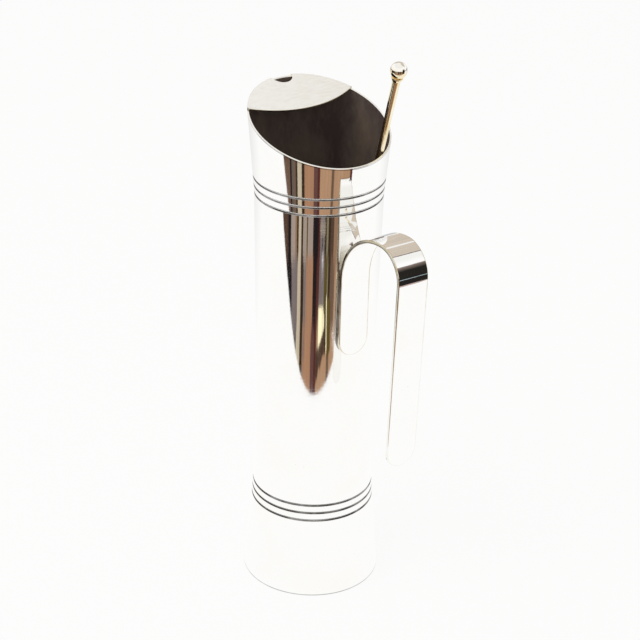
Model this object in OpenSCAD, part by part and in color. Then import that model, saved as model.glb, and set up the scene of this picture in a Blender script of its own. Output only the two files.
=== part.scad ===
// Cocktail pitcher in silver-plated brass, with a long stirrer standing in it.
// A waisted tube that flares straight out to an oblique mouth, a half-moon ice guard on
// the mouth's high side and a flat strap handle soldered to the low side.
// Millimetres, +Z up, origin at the centre of the foot's resting face.
// +X points towards the handle and -X towards the spout.

/* [Body tube] */
// Diameter of the foot at the table
foot_d = 80.4; // [76:0.2:90]
// Diameter at the middle of the lower band of grooves
low_band_d = 71.2; // [68:0.2:74]
// Diameter of the tube at its waist
waist_d = 67.9; // [64:0.1:70]
// Height of the waist above the table
waist_z = 105; // [95:1:130]
// Diameter at the lowest groove of the upper band, where the straight flare begins
top_band_d = 72.2; // [70:0.2:76]
// Diameter that the flare reaches at the height of the spout's tip
mouth_d = 81.6; // [78:0.2:86]
// Thickness of the tube's wall
wall_t = 1; // [0.8:0.05:1.4]

/* [Mouth] */
// Height of the slanted mouth on the tube's own axis
mouth_z = 283.6; // [278:0.2:294]
// Slant of the mouth, rising from the handle to the spout
mouth_tilt = 18.6; // [12:0.2:24]

/* [Grooves] */
// Height of the middle groove of the lower band
low_band_z = 54.6; // [50:0.2:60]
// Height of the middle groove of the upper band
top_band_z = 248.3; // [246:0.2:251]
// Height from one groove of a band to the next
groove_pitch = 4.9; // [4:0.1:6]
// Width of a turned groove
groove_w = 1.5; // [1:0.1:2]
// Depth of a turned groove
groove_depth = 0.45; // [0.3:0.05:0.55]
// Number of grooves in each band
groove_count = 3; // [1:1:3]

/* [Base] */
// Thickness of the disc that closes the foot
base_t = 1.2; // [0.8:0.1:2]
// Leg of the solder fillet in the corner above the base disc
base_fillet = 1.5; // [1:0.1:2.5]

/* [Ice guard] */
// Thickness of the half-moon guard plate
guard_t = 1; // [0.6:0.1:1.4]
// Distance from the tube's axis to the middle of the guard's free edge, along the plate
guard_edge_x = 12.7; // [6:0.1:18]
// Radius of the guard's bowed free edge
guard_edge_r = 70; // [60:1:120]
// Radius of the pouring notch in the guard
notch_r = 6.5; // [4:0.1:8]

/* [Handle] */
// Width of the handle's flat strap
strap_w = 19.4; // [16:0.2:24]
// Thickness of the strap
strap_t = 1.9; // [1.4:0.1:2.4]
// Height where the soldered leg starts to curve away from the body
arch_z = 204; // [198:1:208]
// Outer radius of the arch next to the body
arch_inner_r = 36.6; // [34:0.2:38]
// Outer radius of the arch on the far side
arch_outer_r = 17.7; // [15:0.1:20]
// Height of the soldered leg's rounded lower end
seat_low_z = 157; // [150:1:165]
// Height of the free leg's rounded lower end
grip_low_z = 110; // [100:1:125]
// Lean of the free leg towards the body
grip_lean = 2; // [0:0.1:3]
// Thinnest layer of solder between the strap and the body
solder_t = 0.15; // [0.1:0.05:0.3]
// How far the solder stays back from the strap's edges
solder_inset = 0.3; // [0.2:0.1:0.8]

/* [Stirrer] */
// Diameter of the stirrer's rod
rod_d = 3.8; // [3:0.1:4.4]
// Diameter of the rod at its flared top
rod_top_d = 4.4; // [4.4:0.1:5]
// Length of the flare at the rod's top
rod_flare_l = 42; // [20:1:60]
// Length of the rod that stands out past the rim, up to the collar
rod_proud = 43.5; // [34:0.1:54]
// Diameter of the ball on top
ball_d = 9.3; // [8:0.1:12]
// Diameter of the collar under the ball
collar_d = 6.4; // [5.4:0.1:7]
// Thickness of the collar's rim
collar_t = 0.9; // [0.6:0.1:1.4]
// Height of the cone from the rod up to the collar's rim
collar_cone_h = 1.6; // [1:0.1:2.4]
// Side on which the rod leans on the rim, measured from the handle
lean_az = 33; // [20:1:50]
// Side on which the rod's tip stands, measured from the handle
tip_az = 160; // [145:1:175]
// Clearance of the stirrer from the rim and the base
stirrer_gap = 0.3; // [0.2:0.05:0.5]

/* [Hidden] */
$fn = 96;
// Steps of the outline in each stretch between two named diameters
outline_steps = 9;
// Points on the rounded floor of a groove
groove_steps = 6;
// Steps in each of the handle's two arches
arch_steps = 30;
// Places along the rod where its room in the tube is looked at
rod_steps = 24;
// Steps in which the rod's lean is found
fit_steps = 16;
// Facets round the body where the thin wedge of solder meets it
solder_fn = 4 * $fn;
// How far a cutter runs past what it cuts
overrun = 20;

// Height of the spout's tip, where the flare reaches mouth_d
spout_z = mouth_z + mouth_d / 2 * tan(mouth_tilt);
// Height from the lowest to the highest groove of a band
groove_span = groove_pitch * (groove_count - 1);
// Height where the straight flare to the mouth begins, and how fast it opens
flare_z = top_band_z - groove_span / 2;
flare_slope = (mouth_d - top_band_d) / 2 / (spout_z - flare_z);
// Height and radius of each named station of the curved outline below the flare
station_z = [0, low_band_z, waist_z, flare_z];
station_r = [foot_d / 2, low_band_d / 2, waist_d / 2, top_band_d / 2];
station_last = len(station_z) - 1;

// Slope of the outline at station i, that of the chord between its neighbours
function slope(i) =
    let (a = max(i - 1, 0), b = min(i + 1, station_last))
    (station_r[b] - station_r[a]) / (station_z[b] - station_z[a]);

// Index of the stretch of the outline that holds height z
function stretch(z) = len([for (i = [1:station_last - 1]) if (z > station_z[i]) i]);

// Outer radius of the tube at height z: a smooth curve through the stations, and above
// them the straight flare
function outer_r(z) =
    z > flare_z ? top_band_d / 2 + flare_slope * (z - flare_z) :
    let (
        i = stretch(z),
        h = station_z[i + 1] - station_z[i],
        t = (z - station_z[i]) / h
    )
    (2 * pow(t, 3) - 3 * pow(t, 2) + 1) * station_r[i]
    + (pow(t, 3) - 2 * pow(t, 2) + t) * h * slope(i)
    + (3 * pow(t, 2) - 2 * pow(t, 3)) * station_r[i + 1]
    + (pow(t, 3) - pow(t, 2)) * h * slope(i + 1);

// Heights of the outline's plain steps, from the foot to past the mouth
top_z = spout_z + guard_t + overrun;
plain_z = concat(
    [for (i = [0:station_last - 1], k = [0:outline_steps - 1])
        station_z[i] + (station_z[i + 1] - station_z[i]) * k / outline_steps],
    [flare_z, top_z]
);

// Heights of the grooves' centres
groove_z = [for (band_z = [low_band_z, top_band_z], k = [0:groove_count - 1])
    band_z - groove_span / 2 + groove_pitch * k];

// Radius of the circle that a groove's rounded floor follows
groove_r = (pow(groove_w / 2, 2) + pow(groove_depth, 2)) / (2 * groove_depth);

// Depth of the grooves at height z
function groove_cut(z) =
    max([0, for (c = groove_z) if (abs(z - c) < groove_w / 2)
        sqrt(pow(groove_r, 2) - pow(z - c, 2)) - groove_r + groove_depth]);

// Heights of the outline with the grooves' own points between the plain steps
function groove_points(c) =
    [for (k = [0:groove_steps]) c + groove_w * (k / groove_steps - 1 / 2)];
function below(list, z) = [for (v = list) if (v < z) v];
function above(list, z) = [for (v = list) if (v > z) v];
function woven(list, i) =
    i == len(groove_z) ? list :
    woven(concat(below(list, groove_z[i] - groove_w / 2), groove_points(groove_z[i]),
        above(list, groove_z[i] + groove_w / 2)), i + 1);
outline_z = woven(plain_z, 0);

// Revolved outer form of the tube, closed to the axis and taller than the mouth
module outer_form(grooved) {
    heights = grooved ? outline_z : plain_z;
    rotate_extrude()
        polygon(concat(
            [[0, 0]],
            [for (z = heights) [outer_r(z) - (grooved ? groove_cut(z) : 0), z]],
            [[0, top_z]]
        ));
}

// Revolved hollow of the tube, one wall inside the outer form and open at both ends
module inner_form() {
    low_z = -overrun;
    rotate_extrude()
        polygon(concat(
            [[0, low_z], [foot_d / 2 - wall_t, low_z]],
            [for (z = plain_z) [outer_r(z) - wall_t, z]],
            [[outer_r(top_z) - wall_t, top_z + overrun], [0, top_z + overrun]]
        ));
}

// Everything between two levels measured square to the slanted mouth
module mouth_layer(low, high) {
    reach = foot_d + overrun;
    translate([0, 0, mouth_z])
        rotate([0, mouth_tilt, 0])
            translate([-reach, -reach, low])
                cube([2 * reach, 2 * reach, high - low]);
}

// Body tube: waisted, grooved and cut off on the slant
module body_tube() {
    color([0.86, 0.86, 0.85])
        difference() {
            outer_form(true);
            inner_form();
            mouth_layer(0, top_z);
        }
}

// Base disc, let into the foot and flush with its edge
module base_disc() {
    color([0.8, 0.8, 0.79])
        intersection() {
            inner_form();
            cylinder(r = foot_d, h = base_t);
        }
}

// Solder fillet in the corner between the base disc and the wall
module base_solder() {
    corner_r = foot_d / 2;
    top = base_t + base_fillet;
    inner_r = outer_r(top) - wall_t - base_fillet;
    color([0.62, 0.62, 0.6])
        intersection() {
            inner_form();
            rotate_extrude()
                difference() {
                    translate([inner_r, base_t])
                        square([corner_r - inner_r, base_fillet]);
                    translate([inner_r, top])
                        circle(r = base_fillet);
                }
        }
}

// The guard plate's own axes: origin on the tube's axis, the plate's underside at zero
module on_mouth() {
    translate([0, 0, mouth_z])
        rotate([0, mouth_tilt, 0])
            children();
}

// Half-moon ice guard, soldered on the rim over the high side, with the pouring notch
module guard_plate() {
    rim_x = mouth_d / 2 / cos(mouth_tilt);
    color([0.9, 0.9, 0.88])
        difference() {
            intersection() {
                outer_form(false);
                mouth_layer(0, guard_t);
                on_mouth()
                    translate([-guard_edge_x - guard_edge_r, 0, -guard_t])
                        cylinder(r = guard_edge_r, h = 3 * guard_t, $fn = 2 * $fn);
            }
            on_mouth()
                translate([-rim_x, 0, -guard_t])
                    cylinder(r = notch_r, h = 3 * guard_t);
        }
}

// Where the strap lies against the widest place of the body beside its soldered leg, and
// the places of its two arch centres
seat_x = solder_t + max([for (k = [0:outline_steps])
    outer_r(seat_low_z + (arch_z - seat_low_z) * k / outline_steps)]);
arch_x = seat_x + arch_inner_r;
outer_arch_z = arch_z + arch_inner_r - arch_outer_r;
// Length of the free leg from the arch to the centre of its round end
grip_l = (outer_arch_z - grip_low_z - strap_w / 2) / cos(grip_lean);

// Flat bar with a half-round lower end: it hangs down from the origin, its back on x = 0,
// and its length is counted to the centre of the round end
module round_bar(length, width, thickness) {
    rotate([90, 0, 90])
        linear_extrude(thickness)
            union() {
                translate([-width / 2, -length])
                    square([width, length]);
                translate([0, -length])
                    circle(r = width / 2);
            }
}

// Points along an arc, after its first one
function arc_points(centre, radius, from_angle, to_angle) =
    [for (k = [1:arch_steps])
        let (angle = from_angle + (to_angle - from_angle) * k / arch_steps)
        centre + radius * [cos(angle), sin(angle)]];

// Side view of the strap, the given distance inside its outer face: up the body, over the
// wide arch, on over the tighter one and down the free leg, each end a little too long
function strap_path(inside) =
    let (
        seat_face = seat_x + inside,
        wide = arch_inner_r - inside,
        tight = arch_outer_r - inside,
        outer_centre = [arch_x, outer_arch_z],
        leg_l = grip_l + strap_w
    )
    concat(
        [[seat_face, seat_low_z - strap_w], [seat_face, arch_z]],
        arc_points([arch_x, arch_z], wide, 180, 90),
        arc_points(outer_centre, tight, 90, -grip_lean),
        [outer_centre + tight * [cos(grip_lean), -sin(grip_lean)]
            - leg_l * [sin(grip_lean), cos(grip_lean)]]
    );
function reversed(list) = [for (i = [len(list) - 1:-1:0]) list[i]];

// Handle strap: a flat leg on the body, a lopsided arch and a free leg that leans in
module handle_strap() {
    color([0.88, 0.88, 0.86])
        intersection() {
            rotate([90, 0, 0])
                linear_extrude(strap_w, center = true)
                    polygon(concat(strap_path(0), reversed(strap_path(strap_t))));
            union() {
                translate([seat_x - strap_t, 0, arch_z + arch_inner_r + strap_t])
                    round_bar(arch_z + arch_inner_r + strap_t - seat_low_z - strap_w / 2,
                        strap_w, arch_inner_r + arch_outer_r / 2);
                translate([arch_x, 0, outer_arch_z])
                    rotate([0, grip_lean, 0])
                        translate([0, 0, arch_outer_r + strap_t])
                            round_bar(grip_l + arch_outer_r + strap_t, strap_w,
                                2 * arch_outer_r);
            }
        }
}

// Solder that fills the wedge between the strap's flat back and the round body
module handle_solder() {
    solder_w = strap_w - 2 * solder_inset;
    color([0.66, 0.65, 0.62])
        difference() {
            translate([0, 0, arch_z])
                round_bar(arch_z - seat_low_z - strap_w / 2, solder_w, seat_x);
            outer_form(false, $fn = solder_fn);
        }
}

// Room that the rod's axis has inside the tube at height z
stirrer_standoff = wall_t + rod_d / 2 + stirrer_gap;
function rod_room(z) = outer_r(z) - stirrer_standoff;

// Centre of the rod's rounded tip close to the corner of the base, and the point where its
// axis passes the mouth's plane, each at radius r on its own side
function tip_at(r) = [r * cos(tip_az), r * sin(tip_az), base_t + stirrer_gap + rod_d / 2];
function rim_at(r) =
    [r * cos(lean_az), r * sin(lean_az), mouth_z - r * cos(lean_az) * tan(mouth_tilt)];

// How far the axis between two such points passes out of its room, at worst, from place a
// to place b along it
function rod_excess(tip, rim, a, b) =
    max([for (k = [a:b])
        let (p = tip + (rim - tip) * k / rod_steps)
        norm([p[0], p[1]]) - rod_room(p[2])]);

// Radii of the two points, drawn in or out step by step until each half of the axis just clears
function rod_ends(steps, tip_r, rim_r) =
    steps <= 0 ? [tip_r, rim_r] :
    let (tip = tip_at(tip_r), rim = rim_at(rim_r), half = rod_steps / 2)
    rod_ends(steps - 1, tip_r - rod_excess(tip, rim, 0, half),
        rim_r - rod_excess(tip, rim, half + 1, rod_steps));
rod_radii = rod_ends(fit_steps, foot_d / 2, mouth_d / 2);
tip_point = tip_at(rod_radii[0]);
rim_point = rim_at(rod_radii[1]);

// Way of the rod from its tip to the rim, its length up to the collar and its lean
rod_way = rim_point - tip_point;
rod_l = norm(rod_way) + rod_proud;
rod_lean = acos(rod_way[2] / norm(rod_way));
rod_turn = atan2(rod_way[1], rod_way[0]);

// The stirrer's own axes: origin at the centre of the tip, +Z along the rod
module on_stirrer() {
    translate(tip_point)
        rotate([0, rod_lean, rod_turn])
            children();
}

// Stirrer's rod: a round tip, a plain shank and a slight flare below the collar
module stirrer_rod() {
    color([0.8, 0.66, 0.38])
        on_stirrer()
            union() {
                sphere(d = rod_d);
                cylinder(d = rod_d, h = rod_l - rod_flare_l);
                translate([0, 0, rod_l - rod_flare_l])
                    cylinder(d1 = rod_d, d2 = rod_top_d, h = rod_flare_l);
            }
}

// Stirrer's collar: a small cone that opens to a plain rim under the ball
module stirrer_collar() {
    color([0.8, 0.66, 0.38])
        on_stirrer()
            translate([0, 0, rod_l])
                union() {
                    cylinder(d1 = rod_top_d, d2 = collar_d, h = collar_cone_h);
                    translate([0, 0, collar_cone_h])
                        cylinder(d = collar_d, h = collar_t);
                }
}

// Ball on the collar, with a flat as wide as the rod's top to seat it
ball_seat_z = rod_l + collar_cone_h + collar_t;
ball_rise = sqrt(pow(ball_d / 2, 2) - pow(rod_top_d / 2, 2));
module stirrer_ball() {
    color([0.85, 0.71, 0.4])
        on_stirrer()
            translate([0, 0, ball_seat_z])
                intersection() {
                    translate([0, 0, ball_rise])
                        sphere(d = ball_d);
                    cylinder(d = 2 * ball_d, h = 2 * ball_d);
                }
}

body_tube();
base_disc();
base_solder();
guard_plate();
handle_strap();
handle_solder();
stirrer_rod();
stirrer_collar();
stirrer_ball();
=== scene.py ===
"""Looks of the cocktail pitcher: polished silver plate, a tarnished inside and a gilt stirrer.

The shapes are drawn again as fine smooth skins from the sizes of the CAD source, because
mirror-bright metal shows every facet. Metres, +Z up, +X towards the handle.
"""

import math

import bpy
import numpy as np
from mathutils import Matrix, Vector


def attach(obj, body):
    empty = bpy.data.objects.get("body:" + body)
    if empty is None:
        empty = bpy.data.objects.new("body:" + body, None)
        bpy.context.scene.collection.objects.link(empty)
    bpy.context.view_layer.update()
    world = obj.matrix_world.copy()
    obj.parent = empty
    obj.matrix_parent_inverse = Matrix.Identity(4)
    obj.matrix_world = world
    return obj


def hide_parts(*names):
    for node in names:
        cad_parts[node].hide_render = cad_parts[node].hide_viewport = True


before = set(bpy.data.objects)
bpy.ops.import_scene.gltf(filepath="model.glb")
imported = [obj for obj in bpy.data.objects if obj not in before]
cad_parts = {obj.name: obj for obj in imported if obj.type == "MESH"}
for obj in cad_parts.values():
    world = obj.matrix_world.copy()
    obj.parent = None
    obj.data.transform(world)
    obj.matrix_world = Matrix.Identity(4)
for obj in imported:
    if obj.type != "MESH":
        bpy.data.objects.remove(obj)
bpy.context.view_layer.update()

# Sizes as in the CAD source
MM = 0.001
FOOT_R = 40.2 * MM
LOW_BAND_R = 35.6 * MM
WAIST_R = 33.95 * MM
TOP_BAND_R = 36.1 * MM
MOUTH_R = 40.8 * MM
WAIST_Z = 105 * MM
LOW_BAND_Z = 54.6 * MM
TOP_BAND_Z = 248.3 * MM
WALL_T = 1 * MM
MOUTH_Z = 283.6 * MM
MOUTH_TILT = math.radians(18.6)
GROOVE_PITCH = 4.9 * MM
GROOVE_W = 1.5 * MM
GROOVE_DEPTH = 0.45 * MM
GUARD_T = 1 * MM
GUARD_EDGE_X = 12.7 * MM
GUARD_EDGE_R = 70 * MM
NOTCH_R = 6.5 * MM
STRAP_W = 19.4 * MM
STRAP_T = 1.9 * MM
ARCH_Z = 204 * MM
ARCH_INNER_R = 36.6 * MM
ARCH_OUTER_R = 17.7 * MM
SEAT_LOW_Z = 157 * MM
GRIP_LOW_Z = 110 * MM
GRIP_LEAN = math.radians(2)
SOLDER_T = 0.15 * MM
ROD_R = 1.9 * MM
ROD_TOP_R = 2.2 * MM
ROD_FLARE_L = 42 * MM
ROD_PROUD = 43.5 * MM
BALL_R = 4.645 * MM
COLLAR_R = 3.2 * MM
COLLAR_T = 0.9 * MM
COLLAR_CONE_H = 1.6 * MM
TIP_POINT = Vector((-34.4948, 12.5551, 3.4)) * MM
RIM_POINT = Vector((29.7975, 19.3507, 273.572)) * MM

# Fineness of the skins
TURN_STEPS = 192
BEVEL_STEPS = 4
GROOVE_STEPS = 8
RIM_STEPS = 12
WALL_ROWS = 72
INSIDE_ROWS = 44
LATHE_STEPS = 64
TIP_STEPS = 10
ROD_ROWS = 24
FLARE_ROWS = 8
BALL_STEPS = 40
SAME_POINT = 1e-7

# How far the edges are rounded
FOOT_SOFT = 0.25 * MM
LIP_SOFT = 0.3 * MM
GUARD_SOFT = 0.18 * MM
STRAP_SOFT = 0.5 * MM
COLLAR_SOFT = 0.25 * MM

SPOUT_Z = MOUTH_Z + MOUTH_R * math.tan(MOUTH_TILT)
FLARE_Z = TOP_BAND_Z - GROOVE_PITCH
FLARE_SLOPE = (MOUTH_R - TOP_BAND_R) / (SPOUT_Z - FLARE_Z)
STATION_Z = [0, LOW_BAND_Z, WAIST_Z, FLARE_Z]
STATION_R = [FOOT_R, LOW_BAND_R, WAIST_R, TOP_BAND_R]
GROOVE_Z = [band + k * GROOVE_PITCH for band in (LOW_BAND_Z, TOP_BAND_Z) for k in (-1, 0, 1)]
SLANT_FROM = TOP_BAND_Z + GROOVE_PITCH + 2 * MM
TURN_ANGLES = [k * 2 * math.pi / TURN_STEPS for k in range(TURN_STEPS)]
QUARTER = math.pi / 2


# ---------------------------------------------------------------- the tube's outline

def station_slope(i):
    """Slope of the outline at a station, that of the chord between its neighbours."""
    a, b = max(i - 1, 0), min(i + 1, len(STATION_Z) - 1)
    return (STATION_R[b] - STATION_R[a]) / (STATION_Z[b] - STATION_Z[a])


def outline(z):
    """Outer radius of the tube at height z, and its slope there."""
    if z > FLARE_Z:
        return TOP_BAND_R + FLARE_SLOPE * (z - FLARE_Z), FLARE_SLOPE
    i = sum(1 for station in STATION_Z[1:-1] if z > station)
    h = STATION_Z[i + 1] - STATION_Z[i]
    t = (z - STATION_Z[i]) / h
    r0, r1 = STATION_R[i], STATION_R[i + 1]
    s0, s1 = station_slope(i) * h, station_slope(i + 1) * h
    radius = ((2 * t**3 - 3 * t**2 + 1) * r0 + (t**3 - 2 * t**2 + t) * s0
              + (3 * t**2 - 2 * t**3) * r1 + (t**3 - t**2) * s1)
    slope = ((6 * t**2 - 6 * t) * (r0 - r1) + (3 * t**2 - 4 * t + 1) * s0
             + (3 * t**2 - 2 * t) * s1) / h
    return radius, slope


def meets_mouth(angle, inset=0.0):
    """Radius and height where the wall, drawn in by inset, meets the mouth's plane."""
    z = MOUTH_Z
    for _ in range(12):
        radius = outline(z)[0] - inset
        z = MOUTH_Z - radius * math.cos(angle) * math.tan(MOUTH_TILT)
    return radius, z


# ---------------------------------------------------------------- skins from rows of points

def unit(vectors):
    return vectors / np.linalg.norm(vectors, axis=-1, keepdims=True)


def number_points(rows):
    """The number of the point at each place of each row, and the row and place that each
    point is from. A row whose points fall together is one point."""
    index, spots = [], []
    for r, (p, _) in enumerate(rows):
        together = np.ptp(p, axis=0).max() < SAME_POINT
        first = len(spots)
        spots += [(r, k) for k in ([0] if together else range(len(p)))]
        index.append([first] * len(p) if together else list(range(first, len(spots))))
    return index, spots


def faces_between(index, closed):
    """Faces between neighbouring rows, and the row that each one starts from."""
    faces, starts = [], []
    for r in range(len(index) if closed else len(index) - 1):
        a, b = index[r], index[(r + 1) % len(index)]
        for k in range(len(a)):
            m = (k + 1) % len(a)
            corners = [a[k], a[m], b[m], b[k]]
            face = [v for i, v in enumerate(corners) if v != corners[i - 1]]
            if len(face) > 2:
                faces.append(face)
                starts.append(r)
    return faces, starts


def skin(name, rows, closed=False, caps=False, marks=None, inside_from=None):
    """One smooth mesh through rows of (points, normals), which all have as many points.

    closed joins the last row to the first, and caps fills the first and last rows. marks
    is {name: a number or a row of numbers per row}, kept on the points for the materials.
    From row inside_from on, the faces use the second material slot.
    """
    index, spots = number_points(rows)
    faces, starts = faces_between(index, closed)
    slots = [int(inside_from is not None and r >= inside_from) for r in starts]
    if caps:
        faces += [index[0][::-1], index[-1]]
        slots += [0, 0]
    mesh = bpy.data.meshes.new(name)
    mesh.from_pydata([tuple(rows[r][0][k]) for r, k in spots], [], faces)
    mesh.polygons.foreach_set("use_smooth", [True] * len(faces))
    mesh.polygons.foreach_set("material_index", slots)
    for mark, values in (marks or {}).items():
        layer = mesh.attributes.new(mark, "FLOAT", "POINT")
        each = [np.broadcast_to(values[r], len(rows[0][0]))[k] for r, k in spots]
        layer.data.foreach_set("value", np.array(each, np.float32))
    mesh.normals_split_custom_set_from_vertices([tuple(rows[r][1][k]) for r, k in spots])
    mesh.update()
    piece = bpy.data.objects.new(name, mesh)
    bpy.context.scene.collection.objects.link(piece)
    return piece


def rounded(p0, corner, p1, n0, n1):
    """Rows of (points, normals) round a corner, between two rows that touch its sides."""
    rows = []
    for k in range(1, BEVEL_STEPS):
        t = k / BEVEL_STEPS
        p = (1 - t)**2 * p0 + 2 * t * (1 - t) * corner + t**2 * p1
        rows.append((p, unit((1 - t) * n0 + t * n1)))
    return rows


# ---------------------------------------------------------------- the body tube

# Dirt across a groove, from its lower edge (-1) to its upper one (1)
GROOVE_DIRT_AT = [-1, -0.8, -0.3, 0.1]
LOW_GROOVE_DIRT = [0.8, 1, 1, 0.7]
TOP_GROOVE_DIRT = [0.9, 1, 1, 0]
# Painted contact shade and wear on the foot's edge, and the painted contact shade over it:
# (millimetres up, how much)
FOOT_CONTACT_SHADE, FOOT_WEAR = 0.6, 0.6
CONTACT_SHADE_OVER_FOOT = [(0.6, 0.35), (0.85, 0)]
# Dirt just under the rim: (millimetres below it, how much)
DIRT_UNDER_RIM = [(1.1, 0), (0.75, 0.6), (0.5, 0.6), (0.3, 0)]
# Heights between which the plain outside is drawn, how far its rows keep from the grooves,
# and the height of the inside's lowest row
PLAIN_FROM, PLAIN_TO = 1.5 * MM, 246 * MM
GROOVE_CLEAR = 0.3 * MM
INSIDE_LOW = 0.1 * MM


class Wall:
    """The tube's rows, with the dirt and painted shade, wear and dullness that each carries."""

    def __init__(self):
        self.rows, self.patina, self.wear, self.rough = [], [], [], []

    def add(self, rows, dirt_and_shade=None, worn=0.0, dull=0.0):
        self.rows += rows
        self.patina += dirt_and_shade or [0] * len(rows)
        self.wear += [worn] * len(rows)
        self.rough += [dull] * len(rows)


def ring(radius, z, slope, side=1):
    """A level ring of the wall. side is 1 for the outside and -1 for the inside."""
    a = np.array(TURN_ANGLES)
    p = np.stack([radius * np.cos(a), radius * np.sin(a), np.full_like(a, z)], 1)
    n = side * unit(np.stack([np.cos(a), np.sin(a), np.full_like(a, -slope)], 1))
    return p, n


def wall_ring(z, inset=0.0, side=1):
    """A level ring of the tube's own outline at height z, drawn in by inset."""
    radius, slope = outline(z)
    return ring(radius - inset, z, slope, side)


def slanted(share, inset, drop, side=1):
    """A ring of the wall at a share of the way from level SLANT_FROM to drop below the
    mouth."""
    p, n = [], []
    for a in TURN_ANGLES:
        top = meets_mouth(a, inset)[1] - drop
        z = SLANT_FROM + share * (top - SLANT_FROM)
        r, s = outline(z)
        p.append(((r - inset) * math.cos(a), (r - inset) * math.sin(a), z))
        n.append((side * math.cos(a), side * math.sin(a), -side * s))
    return np.array(p), unit(np.array(n))


def on_mouth(inset):
    """A ring in the mouth's plane, the given distance in from the outer wall."""
    p = []
    for a in TURN_ANGLES:
        r, z = meets_mouth(a, inset)
        p.append((r * math.cos(a), r * math.sin(a), z))
    n = np.tile((math.sin(MOUTH_TILT), 0, math.cos(MOUTH_TILT)), (TURN_STEPS, 1))
    return np.array(p), n


def groove_rows(centre):
    """Rings of one turned groove with a rounded floor, and how much dirt each holds."""
    dirt_and_shade = LOW_GROOVE_DIRT if centre < WAIST_Z else TOP_GROOVE_DIRT
    half = GROOVE_W / 2
    shoulder = 0.05 * MM
    floor_r = (half**2 + GROOVE_DEPTH**2) / (2 * GROOVE_DEPTH)
    rows, depths = [wall_ring(centre - half - shoulder)], [0]
    for k in range(GROOVE_STEPS + 1):
        u = 2 * k / GROOVE_STEPS - 1
        z = centre + u * (half - shoulder)
        reach = math.sqrt(floor_r**2 - (z - centre)**2)
        r, s = outline(z)
        rows.append(ring(r - (reach - floor_r + GROOVE_DEPTH), z, s + (z - centre) / reach))
        depths.append(float(np.interp(u, GROOVE_DIRT_AT, dirt_and_shade)))
    rows.append(wall_ring(centre + half + shoulder))
    return rows, depths + [0]


def add_foot(wall):
    """The foot's flat underside and its worn edge, darkened with painted contact shade."""
    down = np.tile((0, 0, -1.0), (TURN_STEPS, 1))
    wall.add([(ring(FOOT_R - inset, 0, 0)[0], down) for inset in (WALL_T, FOOT_SOFT)])
    start, corner = wall_ring(FOOT_SOFT), ring(FOOT_R, 0, 0)[0]
    bevel = rounded(wall.rows[-1][0], corner, start[0], down, start[1])
    # Painted contact shade: the patina mark darkens the foot's edge and a little above it
    wall.add(bevel, [FOOT_CONTACT_SHADE] * len(bevel), worn=FOOT_WEAR)
    wall.add([start], [FOOT_CONTACT_SHADE])
    for up, dirt_and_shade in CONTACT_SHADE_OVER_FOOT:
        wall.add([wall_ring(up * MM)], [dirt_and_shade])


def add_outside(wall):
    """The outside from the foot to the upper grooves, with all grooves."""
    gap = GROOVE_W / 2 + GROOVE_CLEAR
    plain = [z for z in np.linspace(PLAIN_FROM, PLAIN_TO, WALL_ROWS)
             if all(abs(z - c) > gap for c in GROOVE_Z)]
    for z in sorted(plain + GROOVE_Z):
        if z in GROOVE_Z:
            rows, depths = groove_rows(z)
            wall.add(rows[:1], depths[:1])
            wall.add(rows[1:-1], depths[1:-1], dull=1.0)
            wall.add(rows[-1:], depths[-1:])
        else:
            wall.add([wall_ring(z)])


def add_rim(wall):
    """The outside above the grooves, where the rows slant, and the worn rim. It returns
    the inner wall's top row."""
    wall.add([wall_ring(SLANT_FROM)])
    for k in range(1, RIM_STEPS):
        wall.add([slanted(k / RIM_STEPS, 0, LIP_SOFT)])
    for drop, dirt_and_shade in DIRT_UNDER_RIM:
        wall.add([slanted(1, 0, drop * MM)], [dirt_and_shade])
    outer, top = wall.rows[-1], on_mouth(LIP_SOFT)
    wall.add(rounded(outer[0], on_mouth(0)[0], top[0], outer[1], top[1]), worn=1.0)
    wall.add([top, on_mouth(WALL_T - LIP_SOFT)], worn=1.0)
    inner, edge = slanted(1, WALL_T, LIP_SOFT, -1), wall.rows[-1]
    wall.add(rounded(edge[0], on_mouth(WALL_T)[0], inner[0], top[1], inner[1]), worn=1.0)
    return inner


def add_inside(wall, top):
    """The tarnished inside, from the rim's inner edge down to the foot."""
    wall.add([top])
    for k in range(RIM_STEPS - 1, 0, -1):
        wall.add([slanted(k / RIM_STEPS, WALL_T, LIP_SOFT, -1)])
    for z in np.linspace(SLANT_FROM, INSIDE_LOW, INSIDE_ROWS):
        wall.add([wall_ring(z, WALL_T, -1)])


def tube():
    """The whole tube: foot, grooved outside, slanted rim and tarnished inside."""
    wall = Wall()
    add_foot(wall)
    add_outside(wall)
    inner_top = add_rim(wall)
    inside_from = len(wall.rows) - 1
    add_inside(wall, inner_top)
    marks = {"patina": wall.patina, "wear": wall.wear, "rough": wall.rough}
    return skin("tube_skin", wall.rows, closed=True, marks=marks, inside_from=inside_from)


# ---------------------------------------------------------------- the ice guard

RIM_POINTS, NOTCH_POINTS, BOW_POINTS = 60, 33, 61
# Dirt at both ends of the free edge, and the distance over which it falls by one
GUARD_DIRT, GUARD_DIRT_REACH = 1.2, 1.3 * MM


def on_rim(angle):
    """A point of the outer rim, seen square to the mouth's plane."""
    r = meets_mouth(angle)[0]
    return np.array([r * math.cos(angle) / math.cos(MOUTH_TILT), r * math.sin(angle)])


def free_edge(y):
    """A point of the guard's bowed free edge, seen square to the mouth's plane."""
    return np.array([-GUARD_EDGE_X - GUARD_EDGE_R + math.sqrt(GUARD_EDGE_R**2 - y * y), y])


def crossing(test, low, high):
    """The value between low and high up to which the test holds."""
    for _ in range(50):
        mid = (low + high) / 2
        low, high = (mid, high) if test(mid) else (low, mid)
    return (low + high) / 2


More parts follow.
